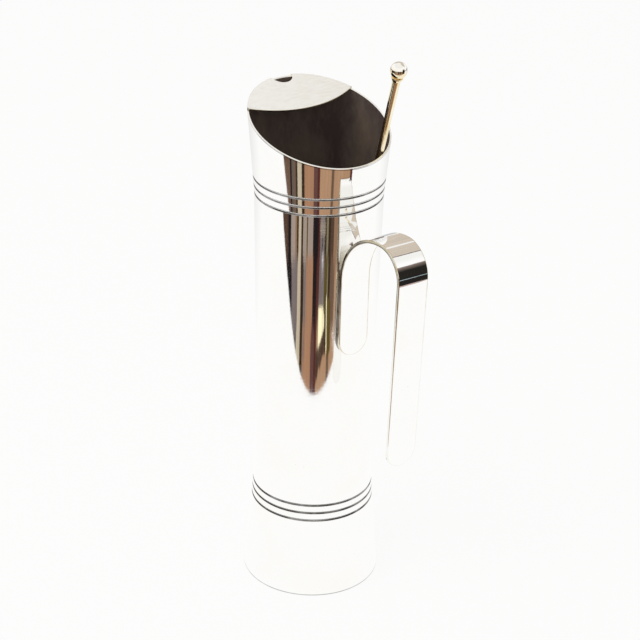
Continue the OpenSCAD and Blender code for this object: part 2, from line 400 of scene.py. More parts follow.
def guard_outline():
    """The guard seen square to the mouth's plane: the rim, the notch, the rim and the free
    edge, anticlockwise. Also the number of the point where the free edge starts."""
    rim_x = MOUTH_R / math.cos(MOUTH_TILT)

    def before_guard(angle):
        x, y = on_rim(angle)
        return x > free_edge(y)[0]

    def before_notch(angle):
        x, y = on_rim(angle)
        return np.hypot(x + rim_x, y) > NOTCH_R

    edge_angle = crossing(before_guard, math.pi / 4, math.pi)
    notch_angle = crossing(before_notch, edge_angle, math.pi)
    rim = [on_rim(a) for a in np.linspace(edge_angle, notch_angle, RIM_POINTS)]
    end = rim[-1] + np.array([rim_x, 0])
    swing = math.atan2(end[1], end[0])
    notch = [np.array([-rim_x + NOTCH_R * math.cos(a), NOTCH_R * math.sin(a)])
             for a in np.linspace(swing, -swing, NOTCH_POINTS)[1:-1]]
    back = [p * (1, -1) for p in rim[::-1]]
    half = rim[0][1]
    bow = [free_edge(y) for y in np.linspace(-half, half, BOW_POINTS)[1:-1]]
    return np.array(rim + notch + back + bow), len(rim + notch + back) - 1


def outward(points):
    """Directions square to a closed outline that runs anticlockwise, pointing out of it."""
    ahead = np.roll(points, -1, 0) - points
    behind = points - np.roll(points, 1, 0)
    way = unit(unit(ahead) + unit(behind))
    return np.stack([way[:, 1], -way[:, 0]], 1)


def guard():
    """Half-moon plate on the rim, with softly rounded edges and dirt at its two ends."""
    flat, edge_start = guard_outline()
    out = outward(flat)
    base = np.array([0, 0, MOUTH_Z])
    across = np.array([math.cos(MOUTH_TILT), 0, -math.sin(MOUTH_TILT)])
    sideways = np.array([0, 1, 0])
    up = np.array([math.sin(MOUTH_TILT), 0, math.cos(MOUTH_TILT)])

    def place(p, lift):
        return base + p[:, :1] * across + p[:, 1:] * sideways + lift * up

    side = out[:, :1] * across + out[:, 1:] * sideways
    upward, downward = np.tile(up, (len(flat), 1)), np.tile(-up, (len(flat), 1))
    inner = flat - out * GUARD_SOFT
    bottom, low = (place(inner, 0), downward), (place(flat, GUARD_SOFT), side)
    high, top = (place(flat, GUARD_T - GUARD_SOFT), side), (place(inner, GUARD_T), upward)
    rows = [bottom] + rounded(bottom[0], place(flat, 0), low[0], downward, side) + [low]
    rows += [high] + rounded(high[0], place(flat, GUARD_T), top[0], side, upward) + [top]
    ends = np.array([flat[0], flat[edge_start]])
    near = np.min(np.linalg.norm(flat[:, None] - ends[None], axis=2), axis=1)
    dirt_and_shade = np.clip(GUARD_DIRT - near / GUARD_DIRT_REACH, 0, 1)
    wear = [0] + [1] * (len(rows) - 2) + [0.1]
    patina = [dirt_and_shade] * (len(rows) - 1) + [dirt_and_shade * 0.6]
    return skin("ice_guard", rows, caps=True, marks={"wear": wear, "patina": patina})


# ---------------------------------------------------------------- the handle

SEAT_X = outline(ARCH_Z)[0] + SOLDER_T
ARCH_X = SEAT_X + ARCH_INNER_R
OUTER_ARCH_Z = ARCH_Z + ARCH_INNER_R - ARCH_OUTER_R
GRIP_L = (OUTER_ARCH_Z - GRIP_LOW_Z - STRAP_W / 2) / math.cos(GRIP_LEAN)
SEAT_L = ARCH_Z - SEAT_LOW_Z - STRAP_W / 2
WIDE_L = ARCH_INNER_R * QUARTER
TIGHT_L = ARCH_OUTER_R * (QUARTER + GRIP_LEAN)
STRAP_L = SEAT_L + WIDE_L + TIGHT_L + GRIP_L
GRIP_FROM = STRAP_L - GRIP_L
END_STEPS = 10
# Points across a flat face of the strap, as shares of its half width
FLAT_AT = (-0.95, -0.5, 0, 0.5, 0.95)


def strap_way(s):
    """Point of the strap's outer face and the way outwards there, at length s from the
    centre of the soldered leg's round end."""
    if s < SEAT_L:
        return np.array([SEAT_X, ARCH_Z - SEAT_L + s]), np.array([-1.0, 0.0])
    s -= SEAT_L
    if s < WIDE_L:
        a = math.pi - s / ARCH_INNER_R
        way = np.array([math.cos(a), math.sin(a)])
        return np.array([ARCH_X, ARCH_Z]) + ARCH_INNER_R * way, way
    s -= WIDE_L
    a = QUARTER - min(s, TIGHT_L) / ARCH_OUTER_R
    way = np.array([math.cos(a), math.sin(a)])
    point = np.array([ARCH_X, OUTER_ARCH_Z]) + ARCH_OUTER_R * way
    if s > TIGHT_L:
        point = point + (s - TIGHT_L) * np.array([math.sin(a), -math.cos(a)])
    return point, way


def strap_stations():
    """Where the strap's rows are: (length, how far past it towards a round end, width),
    the last two as shares of the half width and of the width."""
    past = [math.sin(k / END_STEPS * QUARTER) for k in range(END_STEPS + 1)]
    ends = [(b, math.sqrt(max(0, 1 - b * b))) for b in past]
    lengths = []
    for start, end, count in ((0, SEAT_L, 8), (SEAT_L, SEAT_L + WIDE_L, 40),
                              (SEAT_L + WIDE_L, GRIP_FROM, 30), (GRIP_FROM, STRAP_L, 14)):
        lengths += list(np.linspace(start, end, count))[1:]
    return ([(0, -b, width) for b, width in ends[::-1]] + [(s, 0, 1) for s in lengths]
            + [(STRAP_L, b, width) for b, width in ends[1:]])


def strap_bevel():
    """Steps round a softened edge, from the face to the side: (in from the side, in from
    the face, turn)."""
    turns = [k / BEVEL_STEPS * QUARTER for k in range(BEVEL_STEPS + 1)]
    return [(STRAP_SOFT * (1 - math.sin(a)), STRAP_SOFT * (1 - math.cos(a)), a) for a in turns]


def strap_row(s, past, width):
    """Points and normals round the strap at one station."""
    p, n = [], []

    def put(across, inset, depth, normal):
        """A point and its normal, which is given along the strap, sideways and outwards."""
        reach = STRAP_W / 2 - inset
        point, way = strap_way(s + past * reach)
        along = np.array([way[1], -way[0]])
        spot = point - way * depth
        p.append((spot[0], across * width * reach, spot[1]))
        v = normal[0] * along + normal[2] * way
        n.append((v[0], normal[1], v[1]))

    def edge(side, steps, inner):
        for inset, depth, turn in steps:
            if inner:
                depth = STRAP_T - depth
            out = -math.cos(turn) if inner else math.cos(turn)
            put(side, inset, depth, (past * math.sin(turn), side * width * math.sin(turn), out))

    bevel = strap_bevel()
    edge(1, bevel, inner=False)
    edge(1, bevel[::-1], inner=True)
    for x in FLAT_AT[::-1]:
        put(x, STRAP_SOFT, STRAP_T, (0, 0, -1))
    edge(-1, bevel, inner=True)
    edge(-1, bevel[::-1], inner=False)
    for x in FLAT_AT:
        put(x, STRAP_SOFT, 0, (0, 0, 1))
    return np.array(p[::-1]), unit(np.array(n[::-1]))


def along_strap(s, at, values):
    return float(np.interp(s, at, values))


def strap_marks(s):
    """Wear, dirt and painted shade round the strap at length s, in the order of its points.
    The edges are worn, and the arch's inner edges are darkened. Painted shade lies on the
    near edge where the strap leaves the tube and, tinted yellowish, on the face that is
    turned to the tube there."""
    worn = along_strap(s, [0, SEAT_L, GRIP_FROM, STRAP_L - GRIP_L * 0.5], [0.7, 1, 1, 0.2])
    on_arch = along_strap(s, [SEAT_L * 0.5, SEAT_L, GRIP_FROM, STRAP_L - GRIP_L * 0.7],
                          [0, 1, 1, 0])
    # Painted shade, tinted yellowish, on the face turned to the tube where the strap leaves it
    crease_shade = along_strap(s, [SEAT_L, SEAT_L + WIDE_L * 0.2, SEAT_L + WIDE_L * 0.42], [1, 0.8, 0])
    # Painted shade on the near edge where the strap leaves the tube
    near = along_strap(s, [SEAT_L, SEAT_L + WIDE_L * 0.65, SEAT_L + WIDE_L * 0.8],
                       [0.35, 0.6, 0])
    edge = BEVEL_STEPS + 1
    bare = [0.0] * len(FLAT_AT)
    inner = [1.0, 1.0, 0.8, 0.3, 0.0]
    # Painted shade in the crease: a yellowish tint through the wear mark, darkness through the
    # patina mark
    crease_shade_tint = [crease_shade * share for share in (0.6, 0.45, 0.3, 0.2, 0.1)]
    crease_shade_dark = [crease_shade * share for share in (0.35, 0.15, 0, 0, 0)]
    wear = [worn] * (2 * edge) + bare + [worn] * (2 * edge) + crease_shade_tint
    dirt_and_shade = [0.0] * edge + inner + bare + inner[::-1] + [near] * edge + crease_shade_dark
    return wear[::-1], on_arch * np.array(dirt_and_shade[::-1])


def strap():
    """The flat strap: a bar with round ends and softened edges, bent along its way."""
    stations = strap_stations()
    rows = [strap_row(*station) for station in stations]
    wear, patina = zip(*[strap_marks(s) for s, _, _ in stations])
    return skin("handle_skin", rows, marks={"wear": wear, "patina": patina})


# ---------------------------------------------------------------- the stirrer

def placed(points, normals):
    """Points and normals of the stirrer's own axes, in the row frame."""
    turn = np.array(STIRRER_PLACE)
    return points @ turn.T + np.array(TIP_POINT), normals @ turn.T


def lathe(name, profile, marks=None):
    """A turned piece on the stirrer's axis through (radius, height, normal's angle) rows."""
    a = np.arange(LATHE_STEPS) * 2 * math.pi / LATHE_STEPS
    rows = []
    for radius, z, tip in profile:
        p = np.stack([radius * np.cos(a), radius * np.sin(a), np.full_like(a, z)], 1)
        n = np.stack([math.cos(tip) * np.cos(a), math.cos(tip) * np.sin(a),
                      np.full_like(a, math.sin(tip))], 1)
        rows.append(placed(p, n))
    return skin(name, rows, marks=marks)


def arc_profile(centre_r, centre_z, radius, start, end, steps):
    """Profile rows along an arc; the angles are those of its normal above the level."""
    return [(max(0.0, centre_r + radius * math.cos(t)), centre_z + radius * math.sin(t), t)
            for t in np.linspace(start, end, steps + 1)]


ROD_WAY = (RIM_POINT - TIP_POINT).normalized()
ROD_L = (RIM_POINT - TIP_POINT).length + ROD_PROUD
STIRRER_PLACE = ROD_WAY.to_track_quat("Z", "Y").to_matrix()
END_INSET = 0.02 * MM
# How far over the cone the centre of the collar's lower edge is
COLLAR_EDGE_UP = 0.1 * MM
# Angles above the level where the ball's painted pale highlight starts, and where it is full
BALL_HIGHLIGHT_AT = [-0.2, 0.5]


def rod():
    """The rod with its round tip and the slight flare at its top."""
    flare_from, widening = ROD_L - ROD_FLARE_L, ROD_TOP_R - ROD_R
    lean = -math.atan(widening / ROD_FLARE_L)
    profile = arc_profile(0, 0, ROD_R, -QUARTER, 0, TIP_STEPS)
    profile += [(ROD_R, z, 0) for z in np.linspace(0, flare_from, ROD_ROWS)[1:]]
    profile += [(ROD_R + t * widening, flare_from + t * ROD_FLARE_L, lean)
                for t in np.linspace(0, 1, FLARE_ROWS)[1:]]
    profile += [(ROD_TOP_R - END_INSET, ROD_L, QUARTER), (0, ROD_L, QUARTER)]
    return lathe("stirrer_shank", profile)


def collar():
    """The small cone under the ball and the rim that ends it."""
    cone = -math.atan((COLLAR_R - ROD_TOP_R) / COLLAR_CONE_H)
    low, rim_r = ROD_L, COLLAR_R - COLLAR_SOFT
    widest, high = low + COLLAR_CONE_H, low + COLLAR_CONE_H + COLLAR_T
    profile = [(0, low, -QUARTER), (ROD_TOP_R - END_INSET, low, -QUARTER),
               (ROD_TOP_R, low + END_INSET, cone),
               (COLLAR_R - COLLAR_SOFT * math.sin(-cone), widest - COLLAR_SOFT, cone)]
    profile += arc_profile(rim_r, widest + COLLAR_EDGE_UP, COLLAR_SOFT, cone, 0, 3)[1:]
    profile += arc_profile(rim_r, high - COLLAR_SOFT, COLLAR_SOFT, 0, QUARTER, 5)
    profile.append((0, high, QUARTER))
    return lathe("stirrer_neck", profile)


def ball():
    """The ball, cut flat where it sits on the collar, with a painted pale highlight on top."""
    seat = ROD_L + COLLAR_CONE_H + COLLAR_T
    rise = math.sqrt(BALL_R**2 - ROD_TOP_R**2)
    profile = [(0, seat, -QUARTER), (ROD_TOP_R - END_INSET, seat, -QUARTER)]
    lowest = -math.asin(rise / BALL_R)
    profile += arc_profile(0, seat + rise, BALL_R, lowest, QUARTER, BALL_STEPS)
    # Painted highlight: the ball's top is marked to be paler
    wear = [float(np.interp(tip, BALL_HIGHLIGHT_AT, [0, 1])) for _, _, tip in profile]
    return lathe("stirrer_knob", profile, marks={"wear": wear})


# ---------------------------------------------------------------- materials

class Nodes:
    """Short names for making the nodes of a material or of the world."""

    def __init__(self, owner):
        owner.use_nodes = True
        self.owner = owner
        self.tree = owner.node_tree
        self.shader = self.tree.nodes.get("Principled BSDF")

    def add(self, kind, **values):
        node = self.tree.nodes.new(kind)
        for key, value in values.items():
            if hasattr(node, key):
                setattr(node, key, value)
            else:
                node.inputs[key.replace("_", " ")].default_value = value
        return node

    def feed(self, socket, value):
        """Give a socket a number, a colour or another node's output."""
        if isinstance(value, (int, float)):
            socket.default_value = value
        elif isinstance(value, tuple):
            socket.default_value = (*value, 1)
        else:
            self.tree.links.new(value, socket)

    def place(self, scale=(1, 1, 1)):
        """The piece's own coordinates, stretched by a scale for each axis."""
        mapping = self.add("ShaderNodeMapping", Scale=scale)
        self.feed(mapping.inputs["Vector"], self.add("ShaderNodeTexCoord").outputs["Object"])
        return mapping.outputs["Vector"]

    def noise(self, scale, detail=3.0, stretch=(1, 1, 1), roughness=0.5):
        node = self.add("ShaderNodeTexNoise", Scale=scale, Detail=detail, Roughness=roughness)
        self.feed(node.inputs["Vector"], self.place(stretch))
        return node.outputs["Fac"]

    def ramp(self, value, stops):
        """Colours at places along a value: [(place, colour), ...]."""
        node = self.add("ShaderNodeValToRGB")
        elements = node.color_ramp.elements
        while len(elements) < len(stops):
            elements.new(0.5)
        for element, (at, colour) in zip(elements, stops):
            element.position = at
            element.color = (*colour, 1)
        self.feed(node.inputs["Fac"], value)
        return node.outputs["Color"]

    def grey(self, value, low, high, dark=0.0, light=1.0):
        """A grey that goes from dark to light as the value goes from low to high."""
        return self.ramp(value, [(low, (dark,) * 3), (high, (light,) * 3)])

    def mix(self, share, a, b):
        node = self.add("ShaderNodeMix", data_type="RGBA")
        for name, value in (("Factor", share), ("A", a), ("B", b)):
            self.feed(node.inputs[name], value)
        return node.outputs["Result"]

    def math(self, operation, a, b):
        node = self.add("ShaderNodeMath", operation=operation)
        self.feed(node.inputs[0], a)
        self.feed(node.inputs[1], b)
        return node.outputs[0]

    def times(self, a, b):
        return self.math("MULTIPLY", a, b)

    def between(self, value, **limits):
        """A value brought from one range to another."""
        node = self.add("ShaderNodeMapRange", **limits)
        self.feed(node.inputs["Value"], value)
        return node.outputs[0]

    def mark(self, name):
        return self.add("ShaderNodeAttribute", attribute_name=name).outputs["Fac"]

    def look(self, colour, roughness, bumps, metallic=0.0):
        """Feed the shader. bumps are taken one after another: [(height, strength,
        distance), ...]."""
        self.feed(self.shader.inputs["Base Color"], colour)
        self.feed(self.shader.inputs["Roughness"], roughness)
        self.shader.inputs["Metallic"].default_value = metallic
        normal = None
        for height, strength, distance in bumps:
            node = self.add("ShaderNodeBump", Strength=strength, Distance=distance)
            self.feed(node.inputs["Height"], height)
            if normal is not None:
                self.feed(node.inputs["Normal"], normal)
            normal = node.outputs["Normal"]
        self.feed(self.shader.inputs["Normal"], normal)
        return self.owner


def new_material(name):
    return Nodes(bpy.data.materials.new(name))


SILVER = (0.985, 0.980, 0.968)
WARM_SILVER = (0.955, 0.935, 0.895)
TARNISH = (0.050, 0.044, 0.038)
PALE_EDGE = (0.93, 0.89, 0.79)
GILT_EDGE = (0.90, 0.81, 0.58)
# DULL_BRASS is also the tint of the painted shade on the strap's face by the tube
DULL_BRASS = (0.62, 0.52, 0.31)
# Paler gilt for the ball's painted highlight
HIGHLIGHT_GILT = (0.975, 0.960, 0.915)


def silver(name, wear=0.0, polish=(0.03, 0.08), edge=SILVER, dirty_and_shaded=False, grooved=False,
           wavy=0.03):
    """Polished silver plate: hairline scratches, tiny pits, faint stains, worn edges, dirt
    where the points are marked with patina and a duller finish where they are marked rough.
    On the foot's edge and where the handle's strap leaves the tube, the same marks carry
    painted shade."""
    n = new_material(name)
    stains = n.grey(n.noise(scale=38, detail=4), 0.45, 0.8)
    pits = n.grey(n.noise(scale=1100, detail=2, roughness=0.7), 0.74, 0.77)
    scratches = n.noise(scale=700, detail=2, stretch=(0.25, 0.25, 3.0), roughness=0.6)
    waves = n.noise(scale=22, detail=1)
    colour = n.mix(n.times(stains, 0.35), SILVER, WARM_SILVER)
    colour = n.mix(n.times(pits, 0.5), colour, TARNISH)
    # The wear mark pales worn edges, and on the handle tints the painted shade
    if wear:
        share = n.times(n.mark("wear"), n.grey(n.noise(scale=160), 0.3, 0.6, dark=0.4))
        colour = n.mix(n.times(share, wear), colour, edge)
    # The patina mark is dirt, and painted shade on the foot's edge and on the handle
    if dirty_and_shaded:
        patches = n.grey(n.noise(scale=75, detail=4), 0.3, 0.55, dark=0.6)
        colour = n.mix(n.times(n.mark("patina"), patches), colour, TARNISH)
    gloss = n.grey(scratches, 0.35, 0.8, *polish)
    if grooved:
        gloss = n.math("ADD", gloss, n.times(n.mark("rough"), 0.15))
    return n.look(colour, gloss, [(waves, wavy, 0.002), (scratches, 0.01, 0.0002)], metallic=1.0)


def dark_inside():
    """Brown-black tarnish inside the tube, faintly mottled in upright streaks."""
    n = new_material("tarnished_inside")
    streaks = n.noise(scale=60, detail=6, stretch=(1, 1, 0.45), roughness=0.65)
    colour = n.ramp(streaks, [(0.34, (0.088, 0.060, 0.056)), (0.5, (0.140, 0.106, 0.088)),
                              (0.66, (0.190, 0.141, 0.106))])
    n.shader.inputs["Specular IOR Level"].default_value = 0.15
    dullness = n.grey(n.noise(scale=140), 0.3, 0.7, dark=0.65, light=0.85)
    return n.look(colour, dullness, [(n.noise(scale=220, detail=4), 0.1, 0.0002)])


def gilt():
    """Polished gilt brass with fine turning marks and duller patches, with a painted pale
    highlight where the points are marked for it."""
    n = new_material("gilt_brass")
    colour = n.ramp(n.noise(scale=90), [(0.3, (0.84, 0.68, 0.38)), (0.55, (0.94, 0.84, 0.60)),
                                        (0.8, (0.98, 0.93, 0.78))])
    # Painted highlight: the mark pales the gilt on the ball's top
    share = n.times(n.mark("wear"), n.grey(n.noise(scale=120), 0.25, 0.6, dark=0.7))
    turning = n.noise(scale=1500, detail=2, stretch=(1, 1, 0.3))
    gloss = n.grey(turning, 0.3, 0.8, dark=0.05, light=0.075)
    return n.look(n.mix(share, colour, HIGHLIGHT_GILT), gloss, [(turning, 0.005, 0.0002)],
                  metallic=1.0)


def solder():
    """Dull grey solder, lumpy and blotched with dark flux."""
    n = new_material("dull_solder")
    blotches = n.noise(scale=300, detail=4)
    colour = n.ramp(blotches, [(0.3, (0.10, 0.09, 0.08)), (0.6, (0.42, 0.40, 0.37)),
                               (0.8, (0.60, 0.58, 0.55))])
    dullness = n.grey(n.noise(scale=500), 0.3, 0.7, dark=0.3, light=0.55)
    return n.look(colour, dullness, [(n.noise(scale=350), 0.5, 0.0004)], metallic=1.0)


def give(piece, *materials):
    """Put the materials in the piece's slots, in their order."""
    slots = piece.data.materials
    for k, material in enumerate(materials):
        if k < len(slots):
            slots[k] = material
        else:
            slots.append(material)


# ---------------------------------------------------------------- dressing the frame

plate = silver("silver_plate", wear=0.5, edge=PALE_EDGE, dirty_and_shaded=True, grooved=True)
guard_plate = silver("silver_guard", wear=0.9, polish=(0.16, 0.24), edge=GILT_EDGE, dirty_and_shaded=True,
                     wavy=0.01)
strap_plate = silver("silver_strap", wear=0.85, edge=DULL_BRASS, dirty_and_shaded=True)
plain_plate = silver("silver_plate_flat")

body = tube()
give(body, plate, dark_inside())
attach(body, "pitcher")
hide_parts("body_tube")

guard_piece = guard()
give(guard_piece, guard_plate)
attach(guard_piece, "pitcher")
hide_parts("guard_plate")

handle = strap()
give(handle, strap_plate)
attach(handle, "pitcher")
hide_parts("handle_strap")

brass = gilt()
for piece, node in ((rod(), "stirrer_rod"), (collar(), "stirrer_collar"),
                    (ball(), "stirrer_ball")):
    give(piece, brass)
    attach(piece, "stirrer")
    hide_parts(node)

dull = solder()
give(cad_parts["base_disc"], plain_plate)
give(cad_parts["base_solder"], dull)
give(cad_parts["handle_solder"], dull)


# ---------------------------------------------------------------- camera

CAMERA_TURN = math.radians(55.5)
CAMERA_BACK = 995.324 * MM
CAMERA_HEIGHT = 663.224 * MM
CAMERA_PITCH = 0.46589247
CAMERA_ROLL = 0.02544182
CAMERA_YAW = 0.0023172
FOCAL_PIXELS = 1941.6553
SENSOR = 36.0
IMAGE_WIDTH = 640


def turned(x, y, z):
    """A point or direction in the part's frame, given across, away from the camera and up."""
    c, s = math.cos(CAMERA_TURN), math.sin(CAMERA_TURN)
    return Vector((c * x - s * y, s * x + c * y, z))


def make_camera():
    """The camera of the photo, as fitted to the grooves, the foot and the mouth."""
    cp, sp = math.cos(CAMERA_PITCH), math.sin(CAMERA_PITCH)
    cy, sy = math.cos(CAMERA_YAW), math.sin(CAMERA_YAW)
    ahead = turned(sy * cp, cy * cp, -sp)
    level = turned(cy, -sy, 0)
    above = level.cross(ahead)
    cr, sr = math.cos(CAMERA_ROLL), math.sin(CAMERA_ROLL)
    right = cr * level + sr * above
    up = -sr * level + cr * above
    data = bpy.data.cameras.new("camera")
    data.sensor_width = SENSOR
    data.lens = FOCAL_PIXELS * SENSOR / IMAGE_WIDTH
    camera = bpy.data.objects.new("camera", data)
    axes = Matrix((right, up, -ahead)).transposed().to_4x4()
    camera.matrix_world = Matrix.Translation(turned(0, -CAMERA_BACK, CAMERA_HEIGHT)) @ axes
    bpy.context.scene.collection.objects.link(camera)
    bpy.context.scene.camera = camera


# ---------------------------------------------------------------- studio

# The front edge of the white table, across and towards the camera, in millimetres
TABLE_EDGE = [(-640, 238), (-480, 242), (-320, 252), (-175, 254), (-60, 261), (0, 263),
              (60, 263), (175, 256), (330, 250), (6000, 230)]
TABLE_LEFT_BACK = 350 * MM
FAR = 6.0
# The floor: how much of it is plain light to the camera and to the metal, and the painted
# shade that the metal sees on it behind the pitcher, reached between two distances
FLOOR_TO_CAMERA, FLOOR_TO_METAL = 0.9, 0.97
FLOOR_SHADE_BEHIND = (0.56, 0.56, 0.56)
FLOOR_SHADE_AT = (0.25, 1.3)
# The world: its ceiling, reached between two steepnesses of the view, and how strongly it
# lights what doesn't mirror it
CEILING = (0.905, 0.905, 0.885)
CEILING_AT = (0.6, 0.72)
WORLD_LIGHT = 0.7
LAMP_AT = turned(-0.9, -0.6, 1.7)
LAMP_AIM = Vector((0, 0, 0.15))
LAMP_SIZE = 1.2
LAMP_POWER = 9


def plane(name, corners, material):
    """A flat piece of the stage."""
    mesh = bpy.data.meshes.new(name)
    mesh.from_pydata([tuple(c) for c in corners], [], [tuple(range(len(corners)))])
    mesh.materials.append(material)
    piece = bpy.data.objects.new(name, mesh)
    bpy.context.scene.collection.objects.link(piece)
    return piece


def floor_material():
    """White sweep. What the camera and the metal see of it is nearly as bright as the
    backdrop, and keeps a soft shadow. Behind the pitcher the metal sees painted shade on it."""
    n = new_material("white_floor")
    n.shader.inputs["Base Color"].default_value = (0.9, 0.9, 0.9, 1)
    n.shader.inputs["Roughness"].default_value = 0.9
    n.shader.inputs["Specular IOR Level"].default_value = 0.0
    path = n.add("ShaderNodeLightPath")
    by_camera, by_metal = path.outputs["Is Camera Ray"], path.outputs["Is Glossy Ray"]
    depth = n.add("ShaderNodeVectorMath", operation="DOT_PRODUCT")
    n.feed(depth.inputs[0], n.place())
    depth.inputs[1].default_value = turned(0, 1, 0)
    near, far = FLOOR_SHADE_AT
    # Painted shade on the floor, seen only in the metal, greyer behind the pitcher
    behind = n.between(depth.outputs["Value"], From_Min=near, From_Max=far)
    glow = n.add("ShaderNodeEmission", Strength=1.0)
    n.feed(glow.inputs["Color"], n.mix(n.times(behind, by_metal), (1, 1, 0.995), FLOOR_SHADE_BEHIND))
    blend = n.add("ShaderNodeMixShader")
    glowing = n.math("MAXIMUM", n.times(by_camera, FLOOR_TO_CAMERA),
                     n.times(by_metal, FLOOR_TO_METAL))
    n.feed(blend.inputs["Fac"], glowing)
    n.feed(blend.inputs[1], n.shader.outputs[0])
    n.feed(blend.inputs[2], glow.outputs[0])
    n.feed(n.tree.nodes["Material Output"].inputs["Surface"], blend.outputs[0])
    return n.owner


def make_floor():
    """The floor, whose part in front of the table's edge the metal doesn't see."""
    white = floor_material()
    edge = [turned(x * MM, -y * MM, 0) for x, y in TABLE_EDGE]
    left = [turned(x, TABLE_LEFT_BACK, 0) for x in (-FAR, TABLE_EDGE[0][0] * MM)]
    plane("floor", [turned(-FAR, FAR, 0)] + left + edge + [turned(FAR, FAR, 0)], white)
    front = plane("floor_in_front", [turned(-FAR, -FAR, 0), turned(FAR, -FAR, 0)]
                  + edge[::-1] + left[::-1], white)
    front.visible_glossy = False


def make_world():
    """White all round. The metal sees its upper part a little greyer, as a ceiling."""
    world = bpy.data.worlds.new("studio")
    bpy.context.scene.world = world
    n = Nodes(world)
    path = n.add("ShaderNodeLightPath")
    by_camera, by_metal = path.outputs["Is Camera Ray"], path.outputs["Is Glossy Ray"]
    split = n.add("ShaderNodeSeparateXYZ")
    n.feed(split.inputs[0], n.add("ShaderNodeTexCoord").outputs["Generated"])
    low, high = CEILING_AT
    rise = n.between(split.outputs["Z"], From_Min=low, From_Max=high)
    colour = n.mix(by_metal, (1, 1, 1), n.mix(rise, (1, 1, 1), CEILING))
    seen = n.math("MAXIMUM", by_camera, by_metal)
    strength = n.between(seen, To_Min=WORLD_LIGHT, To_Max=1.0)
    background = n.tree.nodes["Background"]
    n.feed(background.inputs["Color"], colour)
    n.feed(background.inputs["Strength"], strength)


def make_lamp():
    """One large soft lamp above and to the left. The metal doesn't see it."""
    data = bpy.data.lights.new("soft_top", "AREA")
    data.shape = "SQUARE"
    data.size = LAMP_SIZE
    data.energy = LAMP_POWER
    piece = bpy.data.objects.new("soft_top", data)
    piece.location = LAMP_AT
    piece.rotation_euler = (LAMP_AIM - LAMP_AT).to_track_quat("-Z", "Y").to_euler()
    bpy.context.scene.collection.objects.link(piece)
    piece.visible_glossy = False


# ---------------------------------------------------------------- the room

# The room round the table, seen only in the metal: glowing panels with the room's lit look
# painted in, though they are no lamps. Its panels stand three metres away, from one direction
# to another as seen from the pitcher, in degrees: 0 is towards the camera and more is to its
# right. Heights are in metres from the table.
ROOM_FAR = 3.0
THINGS_NEARER = 60 * MM
OVERLAP = 20 * MM
# Levels between which the grain of a tone goes
GRAIN = (0.78, 1.18)
ROOM_TONES = {
    "shade": (0.017, 0.013, 0.014), "umber": (0.040, 0.025, 0.014),
    "walnut": (0.090, 0.052, 0.036), "oak": (0.160, 0.098, 0.066),
    "ash": (0.370, 0.295, 0.250), "linen": (0.560, 0.470, 0.350),
    "copper": (0.400, 0.215, 0.125), "dull_copper": (0.300, 0.178, 0.108),
    "rust": (0.095, 0.030, 0.025), "tan": (0.440, 0.262, 0.155),
    "smoke": (0.200, 0.165, 0.160), "olive": (0.110, 0.078, 0.022),
    "glow": (1.05, 0.95, 0.62), "plum": (0.130, 0.062, 0.055), "moss": (0.240, 0.200, 0.125),
    "taupe": (0.140, 0.105, 0.085), "pale_highlight": (0.62, 0.58, 0.60), "glint": (0.50, 0.62, 0.68),
    "beige": (0.64, 0.56, 0.47), "rose": (0.52, 0.40, 0.36), "deep_shade": (0.021, 0.019, 0.016),
    "dusk": (0.062, 0.054, 0.046),
}
# Bands: lowest and highest, then where each tone starts. The last one ends the band.
ROOM_BANDS = [
    ((-1.288, 0.3), [
        (-67, "walnut"), (-54.4, "shade"), (-49.1, "ash"), (-40.9, "dull_copper"),
        (-37.7, "umber"), (-34.7, "linen"), (-29.7, "umber"), (-26.5, "ash"), (-20, "olive"),
        (-17.9, "ash"), (-8.7, "shade"), (1.2, "rust"), (4.4, "smoke"), (11.8, "umber"),
        (15.3, "moss"), (18.5, "umber"), (22.3, "walnut"), (28.4, "dull_copper"),
        (53.5, "rust"), (57.5, None)]),
    ((-1.455, -1.288), [
        (-67, "walnut"), (-57, "shade"), (-47.3, "smoke"), (-36.1, "linen"), (-30, "umber"),
        (-24.7, "smoke"), (-20.2, "copper"), (-7.5, "shade"), (-1, "rust"), (4.1, "smoke"),
        (13.1, "olive"), (18.4, "moss"), (20, "umber"), (23.7, "oak"), (32, "tan"),
        (53.5, "rust"), (57.5, None)]),
    ((-3.4, -1.455), [
        (-67, "oak"), (-51.5, "shade"), (-48.6, "taupe"), (-43.8, "oak"), (-41, "umber"),
        (-38, "linen"), (-30.5, "umber"), (-25.7, "copper"), (-9.4, "plum"), (-3, "rust"),
        (1.2, "tan"), (21, "oak"), (25.4, "tan"), (53.5, "rust"), (57.5, None)]),
    ((-1.7, 0.3), [(-150, "ash"), (-118, "umber"), (-90, "shade"), (-78, "umber"), (-67, None)]),
    ((-1.0, 0.3), [(57.5, "walnut"), (85, "ash"), (105, "umber"), (120, "smoke"), (140, None)]),
]
# Smaller things in front of the panels: tone, directions and heights
ROOM_THINGS = [
    # The first linen panel, a lamp's bright spot, and the pale_highlight panel are painted
    # highlights
    ("linen", 3.5, 14, -1.180, -1.165), ("pale_highlight", 8, 10.8, -1.300, -1.255),
    ("moss", 3.5, 12.5, -1.455, -1.395), ("smoke", -24.5, -21, -1.50, -1.455),
    ("shade", 7.0, 9.5, -1.245, -1.20), ("beige", 106, 157.8, 1.7, 5.6),
    ("smoke", 102, 106, 1.7, 5.6), ("beige", 157.8, 205, 0.3, 3.0),
]
